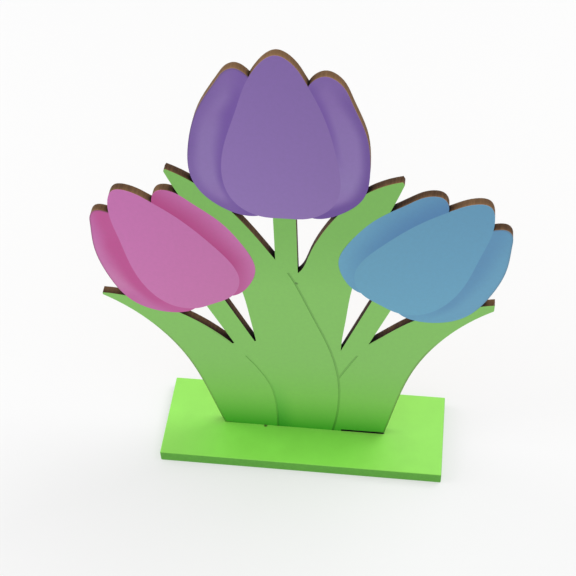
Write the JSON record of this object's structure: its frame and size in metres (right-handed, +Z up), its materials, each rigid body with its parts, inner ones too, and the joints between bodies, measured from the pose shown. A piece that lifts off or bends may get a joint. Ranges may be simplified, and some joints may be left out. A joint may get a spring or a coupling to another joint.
{
  "type": "wooden tulips ornament",
  "caption": "Free-standing folk ornament: a flat cut-out bunch of tulips on leaves and stems, coloured on its front, that stands by a tab in the slot of a green base strip.",
  "frame": {"origin": "middle of the base's underside, on the surface that the ornament stands on", "axes": "+Z up, +X to the right of someone facing the coloured front, +Y from the front to the back, through the panel's thickness"},
  "size_m": [0.1402, 0.037, 0.1848],
  "materials": {
    "base_paint": "satin acrylic paint on fibreboard",
    "panel_board": "laser-cut fibreboard with scorched edges",
    "leaf_green": "matt printed coat",
    "bloom_purple": "matt printed coat",
    "bloom_pink": "matt printed coat",
    "bloom_blue": "matt printed coat"
  },
  "bodies": {
    "base": {"base_plate": "base_paint"},
    "panel": {"tulip_panel": "panel_board", "foliage_print": "leaf_green", "purple_bloom_print": "bloom_purple", "pink_bloom_print": "bloom_pink", "blue_bloom_print": "bloom_blue"}
  },
  "joints": [
    {"name": "panel_lift", "type": "slide", "parent": "base", "child": "panel", "axis": [0, 0, 1], "range_m": [0, 0.012]}
  ]
}
